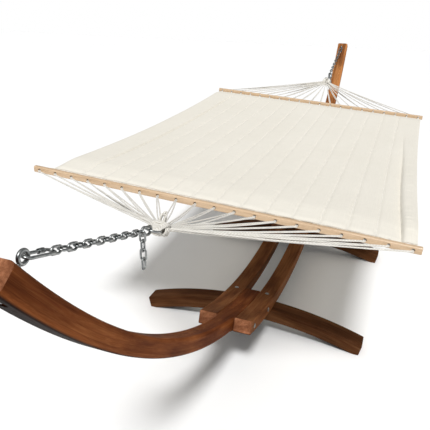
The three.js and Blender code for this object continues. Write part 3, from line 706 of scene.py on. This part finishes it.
QUICK_START = EYE_RING - EYE_WIRE - QUICK["wire"] / 2 - EYE_SLACK
QUICK_END = QUICK_START + span(QUICK)
CHAIN_START = QUICK_END - (QUICK["wire"] + LINK["wire"]) / 2 - GAP
CHAIN_END = CHAIN_START + span(LINK) + (CHAIN_COUNT - 1) * CHAIN_PITCH
HOOK_START = CHAIN_END - (LINK["wire"] + HOOK["wire"]) / 2 - GAP
HOOK_END = HOOK_START + span(HOOK)
RING_CENTRE = HOOK_END - (HOOK["wire"] + RING_WIRE) / 2 - GAP + RING_RADIUS


def line_frame(end):
    """Columns: along the hanging line, across it, upward, a little rolled. Then its origin, in the eye."""
    origin = on_arc(ARC_INNER - EYE_HEIGHT, end["side"] * EYE_ANGLE)
    along = np.array(end["apex"]) - origin
    along /= np.linalg.norm(along)
    across = np.cross((0, 0, 1), along)
    across /= np.linalg.norm(across)
    upward = np.cross(along, across)
    c, r = math.cos(LINE_ROLL), -end["side"] * math.sin(LINE_ROLL)
    return np.column_stack([along, c * across + r * upward, c * upward - r * across]), origin


def on_line(end, points):
    turn, origin = line_frame(end)
    return np.asarray(points, float) @ turn.T + origin


def oval_size(link):
    """The end arcs' radius, half the straight legs' length and the whole way round."""
    radius = (link["width"] - link["wire"]) / 2
    stretch = (link["length"] - link["width"]) / 2
    return radius, stretch, 2 * math.pi * radius + 4 * stretch


def oval(link, first, last, count):
    """The wire's centre line between two shares of the way round, as (x, y), anticlockwise from +x."""
    r, stretch, total = oval_size(link)
    quarter = math.pi * r / 2
    points = []
    for d in np.linspace(first, last, count) * total:
        d %= total
        if d < quarter:
            a = d / r
            points.append((stretch + r * math.cos(a), r * math.sin(a)))
        elif d < quarter + 2 * stretch:
            points.append((stretch - (d - quarter), r))
        elif d < 3 * quarter + 2 * stretch:
            a = math.pi / 2 + (d - quarter - 2 * stretch) / r
            points.append((-stretch + r * math.cos(a), r * math.sin(a)))
        elif d < 3 * quarter + 4 * stretch:
            points.append((-stretch + (d - 3 * quarter - 2 * stretch), -r))
        else:
            a = 1.5 * math.pi + (d - 3 * quarter - 4 * stretch) / r
            points.append((stretch + r * math.cos(a), r * math.sin(a)))
    return np.array(points)


def open_wire(link, low_x, high_x):
    """The oval, left open on its +y leg between two x values."""
    r, stretch, total = oval_size(link)
    quarter = math.pi * r / 2
    first = (quarter + (stretch - low_x)) / total
    last = 1 + (quarter + (stretch - high_x)) / total
    return oval(link, first, last, 70)


def chain_link(place, upright):
    """One welded link. place moves its points from (along, across, up) to where it hangs."""
    flat = oval(LINK, 0, 1, 45)[:-1]
    zero = np.zeros(len(flat))
    shape = np.column_stack([flat[:, 0], zero, flat[:, 1]] if upright else [flat[:, 0], flat[:, 1], zero])
    radius = LINK["wire"] / 2
    weld = 0.16 * hill(flat[:, 0], 0.0026) * (flat[:, 1] > 0)
    return tube(place(shape), radius * (1 + weld), 12, closed=True)


def add_chain(end):
    built = Build()
    for i in range(CHAIN_COUNT):
        middle = CHAIN_START + span(LINK) / 2 + i * CHAIN_PITCH
        built.add(*chain_link(lambda p: on_line(end, p + (middle, 0, 0)), i % 2 == 0))
    add_steel(built, end["name"] + "_chain", "hammock", ZINC, 60)


def add_quick_link(end):
    middle = (QUICK_START + QUICK_END) / 2
    flat = open_wire(QUICK, SLEEVE_OFFSET - SLEEVE_MOUTH / 2, SLEEVE_OFFSET + SLEEVE_MOUTH / 2)
    shape = np.column_stack([flat[:, 0] + middle, flat[:, 1], np.zeros(len(flat))])
    built = Build()
    built.add(*tube(on_line(end, shape), QUICK["wire"] / 2, 16))
    name = end["name"] + "_quick_link"
    add_steel(built, name, "hammock", ZINC)
    leg = (QUICK["width"] - QUICK["wire"]) / 2
    start = on_line(end, [(middle + SLEEVE_OFFSET - SLEEVE_LENGTH / 2, leg, 0)])[0]
    along = line_frame(end)[0][:, 0]
    sleeve = Build()
    hexagon(sleeve, SLEEVE_CORNERS, QUICK["wire"] / 2 + 0.0003, SLEEVE_LENGTH, start, along)
    name += "_sleeve"
    add_steel(sleeve, name, name, ZINC, 35)


def add_snap_hook(end):
    middle = (HOOK_START + HOOK_END) / 2
    half = GATE_LENGTH / 2 + GAP
    flat = open_wire(HOOK, -half, half)
    shape = np.column_stack([flat[:, 0] + middle, np.zeros(len(flat)), flat[:, 1]])
    built = Build()
    built.add(*tube(on_line(end, shape), HOOK["wire"] / 2, 16))
    add_steel(built, end["name"] + "_snap_hook", "hammock", ZINC)
    leg = (HOOK["width"] - HOOK["wire"]) / 2
    xs = np.linspace(-1, 1, 25)
    zero = np.zeros(len(xs))
    line = np.column_stack([middle + xs * (GATE_LENGTH / 2 - REST_GAP), zero, zero + leg])
    rounded = np.sqrt(np.clip(1 - np.abs(xs) ** 9, 0.05, 1))
    neck = 1 - 0.14 * hill(xs + 0.72, 0.05)
    gate = Build()
    gate.add(*tube(on_line(end, line), GATE_RADIUS * rounded * neck, 14))
    name = end["name"] + "_snap_gate"
    add_steel(gate, name, name, ZINC)


def tail_top(end):
    leg = (LINK["width"] - LINK["wire"]) / 2 * math.cos(math.pi / 10)
    held = on_line(end, [(CHAIN_END - TAIL_SETBACK, end["side"] * leg, 0)])[0]
    return held + (0, 0, LINK["wire"] + TAIL_LIFT)


def add_tail(end):
    """Spare links that hang straight down, each a quarter turn round from the last."""
    pitch = LINK["length"] - 2 * LINK["wire"] - GAP
    for i in range(TAIL_COUNT):
        middle = tail_top(end) - (0, 0, span(LINK) / 2 + i * pitch)

        def hang(p):
            along, across, level = p.T
            return middle + np.column_stack([level, across, along] if i % 2 == 0 else [across, level, along])

        built = Build()
        built.add(*chain_link(hang, False))
        name = f"{end['name']}_tail_link_{i + 1}"
        add_steel(built, name, name, ZINC, 60)


def add_clew_ring(end):
    turns = np.linspace(0, 2 * math.pi, 57)[:-1]
    shape = [(RING_CENTRE + RING_RADIUS * math.cos(t), RING_RADIUS * math.sin(t), 0) for t in turns]
    built = Build()
    built.add(*tube(on_line(end, shape), RING_WIRE / 2, 14, closed=True))
    add_steel(built, end["name"] + "_clew_ring", "hammock", ZINC, 60)


for end in ENDS:
    add_chain(end)
    add_quick_link(end)
    add_snap_hook(end)
    add_tail(end)
    add_clew_ring(end)

# ---------------------------------------------------------------- spreader bars


def on_bar(end, s, x=BAR_X, z=0.0):
    return np.array([end["side"] * x, s * math.cos(BAR_TILT), end["bar"] + s * math.sin(BAR_TILT) + z])


def hole_place(i):
    return -BAR_LENGTH / 2 + HOLE_MARGIN + i * HOLE_SPACING


def add_bar(end, seed):
    chamfer, chamfer_share = 0.0012, 0.0017
    stations = [(-1, chamfer), (-1 + chamfer_share, 0.0)]
    stations += [(u, 0.0) for u in np.linspace(-0.97, 0.97, 39)]
    stations += [(1 - chamfer_share, 0.0), (1, chamfer)]
    vertices = []
    for u, inset in stations:
        middle = on_bar(end, u * BAR_LENGTH / 2)
        shape = section(BAR_DEPTH - 2 * inset, BAR_HEIGHT - 2 * inset, BAR_EDGE - inset / 2, 6, 0.0006)
        for a, b in shape:
            vertices.append(middle + (a, -b * math.sin(BAR_TILT), b * math.cos(BAR_TILT)))
    wood = pale_wood(end["name"] + "_bar_wood", seed)
    faces = [f[::-1] for f in rings_to_faces(len(stations), len(shape))]
    bar = add_mesh(end["name"] + "_bar_wood", vertices, faces, [wood])

    def grain_of(p):
        return np.column_stack([p[:, 1], p[:, 0], p[:, 2] - p[:, 1] * math.tan(BAR_TILT)])

    holes = Build()
    for i in range(HOLE_COUNT):
        start = on_bar(end, hole_place(i), BAR_X - 0.02)
        waist = HOLE_RADIUS * 0.96
        profile = [(0, HOLE_RADIUS), (0.0095, HOLE_RADIUS), (0.0125, waist)]
        profile += [(0.0275, waist), (0.0305, HOLE_RADIUS), (0.04, HOLE_RADIUS)]
        holes.add(*lathe(profile, 20, start, (end["side"], 0, 0)))
    drill(bar, holes, grain_of, 32)
    settle(bar, "hammock", "pale_wood", end["name"] + "_spreader_bar")


for number, end in enumerate(ENDS):
    add_bar(end, number + 1)

# ---------------------------------------------------------------- cords


def curve_through(points, count):
    """A smooth curve through points, by Catmull-Rom."""
    p = np.asarray(points, float)
    p = np.vstack([2 * p[0] - p[1], p, 2 * p[-1] - p[-2]])
    made = []
    for i in range(1, len(p) - 2):
        for t in np.linspace(0, 1, count, endpoint=False):
            a, b, c, d = p[i - 1 : i + 3]
            bend, twist = 2 * a - 5 * b + 4 * c - d, 3 * b - a - 3 * c + d
            made.append(0.5 * (2 * b + (c - a) * t + bend * t * t + twist * t**3))
    made.append(p[-2])
    return np.array(made)


STRAND_RADIUS, WRAP_RADIUS, WAIST_RADIUS, TUFT_RADIUS = 0.0024, 0.0029, 0.0031, 0.0034
PAIR_OFFSET = 0.0022
WRAP_COUNT, WAIST_TURNS = 15, 6
KNOT_MIDDLE = RING_CENTRE + RING_RADIUS + 0.020
HEM_END_MARGIN = 0.012


def strand_path(end, s, half, jitter):
    """One strand's points, from the knot through the hole at s into the hem. half is -1 or 1 in a pair."""
    centre = on_line(end, [(KNOT_MIDDLE, 0, 0)])[0]
    outer, inner = BAR_X + BAR_DEPTH / 2, BAR_X - BAR_DEPTH / 2
    ray = (on_bar(end, s, outer) - centre) @ line_frame(end)[0]
    ray /= np.linalg.norm(ray)
    beside = half * PAIR_OFFSET
    lift = 0.005 * jitter[0] + 0.003
    rim = np.array([0.030 * ray[0], 0.024 * ray[1], 0.0])
    sideways = beside * np.array([-ray[1], ray[0], 0.0])
    start = on_line(end, [(KNOT_MIDDLE + 0.35 * rim[0], 0.35 * rim[1], 0.5 * lift)])[0]
    neck = on_line(end, [np.array([KNOT_MIDDLE, 0, lift]) + rim + sideways])[0]
    drawn = s + beside + 0.0016 * (-1 if s > centre[1] else 1)
    mouth = on_bar(end, drawn, outer + 0.005, -0.0024 + 0.0006 * half)
    hole = on_bar(end, drawn, outer - 0.003, -0.0018 + 0.0006 * half)
    leaving = on_bar(end, s + beside, inner + 0.001, min(0.0, 0.35 * end["lift"]))
    hem = min(max(s, end["right"] + HEM_END_MARGIN), end["left"] - HEM_END_MARGIN) + beside
    turning = on_bar(end, 0.6 * s + 0.4 * hem, BED_END_X + 0.0005, 0.5 * end["lift"])
    inside = on_bar(end, hem, BED_END_X - 0.004, end["lift"])
    run = mouth - neck
    away = run / np.linalg.norm(run)
    lean = np.array([0, beside + 0.0008 * jitter[3], -0.003 - 0.004 * abs(jitter[4])])
    lean -= away * np.dot(lean, away)
    free = [neck + share * run + bow * lean for share, bow in ((0.25, 0.7), (0.5, 1.0), (0.78, 0.55))]
    return [start, neck, *free, mouth - away * 0.016, mouth, hole, leaving, turning, inside]


def add_knot(built, end):
    """Wraps over the ring, turns round the knot's waist, and two short tuft loops on top."""
    for side in np.linspace(-1, 1, WRAP_COUNT):
        y = 0.0185 * side
        wire = RING_CENTRE + math.sqrt(RING_RADIUS**2 - y * y)
        bulge = 0.0066 + 0.0006 * rng.uniform(-1, 1)
        half_turn = np.linspace(-0.5 * math.pi, 0.5 * math.pi, 9)
        around = [(wire - bulge * math.cos(a), y, bulge * math.sin(a)) for a in half_turn]
        low = [(KNOT_MIDDLE + 0.024, 0.020 * side, -0.010), (KNOT_MIDDLE - 0.003, 0.024 * side, -0.0155)]
        high = [(along, across, -up) for along, across, up in low[::-1]]
        built.add(*tube(on_line(end, curve_through(low + around + high, 4)), WRAP_RADIUS, 8))
    a = np.linspace(0, 2 * math.pi, 29)[:-1]
    for k in range(WAIST_TURNS):
        tilt = rng.uniform(-0.3, 0.3)
        swell = 1 - 0.05 * (k - 1.8) ** 2 / 4
        x = KNOT_MIDDLE - 0.012 + 0.0062 * k + tilt * 0.010 * np.cos(a)
        loop = np.column_stack([x, 0.0265 * swell * np.cos(a), 0.0180 * swell * np.sin(a)])
        built.add(*tube(on_line(end, loop), WAIST_RADIUS, 8, closed=True))
    for shift in (-0.004, 0.004):
        base = KNOT_MIDDLE + 0.010 + shift
        tuft = [(base - 0.003, 0.004, 0.012), (base - 0.004, 0.006, 0.026), (base - 0.001, 0.004, 0.038)]
        tuft += [(base + 0.005, 0.000, 0.041 + shift), (base + 0.008, -0.003, 0.032)]
        tuft.append((base + 0.006, -0.002, 0.014))
        built.add(*tube(on_line(end, curve_through(tuft, 6)), TUFT_RADIUS, 8))


def add_clew(end):
    """Forty strands from the ring's knot, a pair to each hole, and the knot's own turns."""
    built = Build()
    for i in range(HOLE_COUNT):
        for half in (-1, 1):
            path = strand_path(end, hole_place(i), half, rng.uniform(-1, 1, 6))
            built.add(*tube(curve_through(path, 4), STRAND_RADIUS, 7))
    add_knot(built, end)
    name = end["name"] + "_clew"
    settle(built.object(name + "_cords", CORD, 70), "hammock", "cotton_cord", name)


for end in ENDS:
    add_clew(end)

# ---------------------------------------------------------------- the quilted bed

CHANNELS = 14
OUTER_EXTRA = 0.4  # how much wider than the others the two outer channels are, in channels
CHANNELS_WIDE = CHANNELS + 2 * OUTER_EXTRA
BED_ROWS = 260
HEM_HALF_THICKNESS, PUFF_HALF_THICKNESS = 0.0018, 0.0052
RIGHT_BOW, LEFT_BOW = 0.010, 0.016
NEAR_HEM_SHARE, FAR_HEM_SHARE = 0.07, 0.06
CREASE_FROM_EDGE, CREASE_DROP = 0.046, 0.012
SCALLOP_DEPTH = 0.0035


def noise_grid(u, v, count, seed, stretch):
    """Smooth random waves, the same each run."""
    waves = np.random.default_rng(seed)
    total = np.zeros_like(u)
    for _ in range(count):
        fu, fv = waves.normal(0, stretch[0]), waves.normal(0, stretch[1])
        total += np.sin(fu * u + fv * v + waves.uniform(0, 2 * math.pi))
    return total / math.sqrt(count)


def bed_columns():
    """Places across the bed, in channels from its right edge, close together at the seams."""
    steps = np.array([0, 0.03, 0.06, 0.10, 0.17, 0.32, 0.5, 0.68, 0.83, 0.90, 0.94, 0.97])
    first = np.linspace(0, 1 + OUTER_EXTRA, 66)[:-1]
    inner = [OUTER_EXTRA + k + steps for k in range(1, CHANNELS)]
    last = CHANNELS + OUTER_EXTRA + np.linspace(0, OUTER_EXTRA, 6)
    return np.concatenate([first, *inner, last])


def edge_creases(x, s, u, from_right):
    """A soft fold along the bed's right edge that fades towards the far bar, and fine gathers beside it."""
    weight = smooth_step((0.85 - u) / 0.6)
    beyond = CREASE_FROM_EDGE + 0.045 * u + 0.003 * np.sin(9 * u) - from_right
    fall = -CREASE_DROP * np.exp(np.minimum(beyond, 0) / 0.040)
    height = CREASE_DROP * (1 + smooth_step(u / 0.04))
    rise = height * (1 - np.exp(-np.maximum(beyond, 0) / 0.005)) - CREASE_DROP
    gather = noise_grid(x, s, 22, 8, (130, 14)) * 0.0013 * hill(from_right - 0.030, 0.018)
    return weight * (np.where(beyond > 0, rise, fall) + gather)


def padded_faces(rows, columns):
    """Faces for a grid of top points followed by a grid of bottom points, with walls round the edge."""
    w = columns + 1
    size = (rows + 1) * w
    faces = []

    def wall(a, b):
        faces.append((a, size + a, size + b, b))

    for i in range(rows):
        for j in range(columns):
            a, b, c, d = i * w + j, (i + 1) * w + j, (i + 1) * w + j + 1, i * w + j + 1
            faces.append((a, b, c, d))
            faces.append((size + d, size + c, size + b, size + a))
    for i in range(rows):
        wall(i * w, (i + 1) * w)
        wall((i + 1) * w + columns, i * w + columns)
    for j in range(columns):
        wall(j + 1, j)
        wall(rows * w + j, rows * w + j + 1)
    return faces


def add_bed():
    """The quilted bed. u runs from the near bar to the far one, s across from the bars' middles."""
    columns = bed_columns()
    u, place = np.meshgrid(np.linspace(0, 1, BED_ROWS + 1), columns, indexing="ij")
    channel = place - OUTER_EXTRA
    slack = 4 * u * (1 - u)
    from_end = np.minimum(u, 1 - u)
    bar, right, left = (NEAR[key] + (FAR[key] - NEAR[key]) * u for key in ("bar", "right", "left"))
    right = right + RIGHT_BOW * slack
    left = left - LEFT_BOW * slack
    s = right + (left - right) * place / CHANNELS_WIDE
    x = (2 * u - 1) * BED_END_X
    lift = BED_RISE * (1 - u) + (NEAR["lift"] - BED_RISE) * smooth_step(1 - u / NEAR_HEM_SHARE)
    lift += FAR["lift"] * smooth_step((u - 1 + FAR_HEM_SHARE) / FAR_HEM_SHARE)
    width = (left - right) / CHANNELS_WIDE
    seam = np.abs(channel - np.clip(np.round(channel), 1, CHANNELS - 1)) * width
    edge = smooth_step(np.minimum(s - right, left - s) / 0.016)
    puff = edge * (1 - hill(seam, 0.0075)) * (0.84 + 0.16 * hill(seam, 0.022))
    ends = smooth_step(from_end / 0.012)
    pucker = noise_grid(x, channel, 26, 3, (95, 3)) * hill(seam, 0.014) * 0.0007
    waves = noise_grid(x, s, 14, 5, (3.0, 6.0)) * 0.0013 * slack
    tuck = -0.007 * hill((channel - CHANNELS + 1) * width, 0.006) * smooth_step(slack / 0.7)
    middle = bar + lift + s * math.sin(BAR_TILT) - BED_SAG * slack
    middle += waves + edge_creases(x, s, u, s - right) + tuck + pucker * ends
    thick = HEM_HALF_THICKNESS + PUFF_HALF_THICKNESS * puff * ends
    scallop = SCALLOP_DEPTH * np.abs(np.sin(math.pi * (s - hole_place(0)) / HOLE_SPACING))
    x = x - np.sign(2 * u - 1) * scallop * (1 - smooth_step(from_end / 0.008))
    skins = [np.stack([x, s * math.cos(BAR_TILT), middle + side * thick], -1) for side in (1, -1)]
    vertices = np.vstack([skin.reshape(-1, 3) for skin in skins])
    grain = np.stack([x, s, seam], -1).reshape(-1, 3)
    faces = padded_faces(BED_ROWS, len(columns) - 1)
    bed = add_mesh("quilted_bed_cloth", vertices, faces, [CANVAS], np.vstack([grain, grain]), 75)
    settle(bed, "hammock", "quilt_canvas", "quilted_bed", "near_hem_dowel", "far_hem_dowel")


add_bed()

# ---------------------------------------------------------------- floor and light

FLOOR_HALF = 14
SKY_LOW, SKY_HIGH = 0.18, 0.48


def add_floor():
    n = Nodes("pale_floor")
    tone = n.noise(n.add("TexCoord").outputs["Object"], 0.8, 2)
    colour = n.ramp(tone, (0.3, 0.915), (0.7, 0.925))
    corners = [(x * FLOOR_HALF, y * FLOOR_HALF, 0) for x, y in ((-1, -1), (1, -1), (1, 1), (-1, 1))]
    floor = add_mesh("floor", corners, [(0, 1, 2, 3)], [n.finish(Base_Color=colour, Roughness=0.9)])
    floor.location.z = -0.0005


def add_sky():
    """Soft light, brighter from above, in front of a plain white backdrop."""
    world = bpy.data.worlds.new("studio")
    world.use_nodes = True
    tree = world.node_tree
    light = tree.nodes["Background"]
    sky = tree.nodes.new("ShaderNodeTexCoord")
    height = tree.nodes.new("ShaderNodeSeparateXYZ")
    ramp = tree.nodes.new("ShaderNodeValToRGB")
    for element, level in zip(ramp.color_ramp.elements, (SKY_LOW, SKY_HIGH)):
        element.color = (level, level, level, 1)
    backdrop = tree.nodes.new("ShaderNodeBackground")
    backdrop.inputs["Color"].default_value = (1, 1, 1, 1)
    chosen = tree.nodes.new("ShaderNodeMixShader")
    path = tree.nodes.new("ShaderNodeLightPath")
    tree.links.new(sky.outputs["Generated"], height.inputs[0])
    tree.links.new(height.outputs["Z"], ramp.inputs[0])
    tree.links.new(ramp.outputs[0], light.inputs["Color"])
    tree.links.new(path.outputs["Is Camera Ray"], chosen.inputs[0])
    tree.links.new(light.outputs[0], chosen.inputs[1])
    tree.links.new(backdrop.outputs[0], chosen.inputs[2])
    tree.links.new(chosen.outputs[0], tree.nodes["World Output"].inputs["Surface"])
    bpy.context.scene.world = world
    bpy.context.scene.view_settings.view_transform = "Standard"


def add_sun(name, towards, strength, softness):
    data = bpy.data.lights.new(name, "SUN")
    data.energy, data.angle = strength, math.radians(softness)
    light = bpy.data.objects.new(name, data)
    light.rotation_euler = Vector(towards).to_track_quat("-Z", "Y").to_euler()
    bpy.context.scene.collection.objects.link(light)


add_floor()
add_sky()
add_sun("key", (0.72, 0.20, -1.0), 2.95, 10)
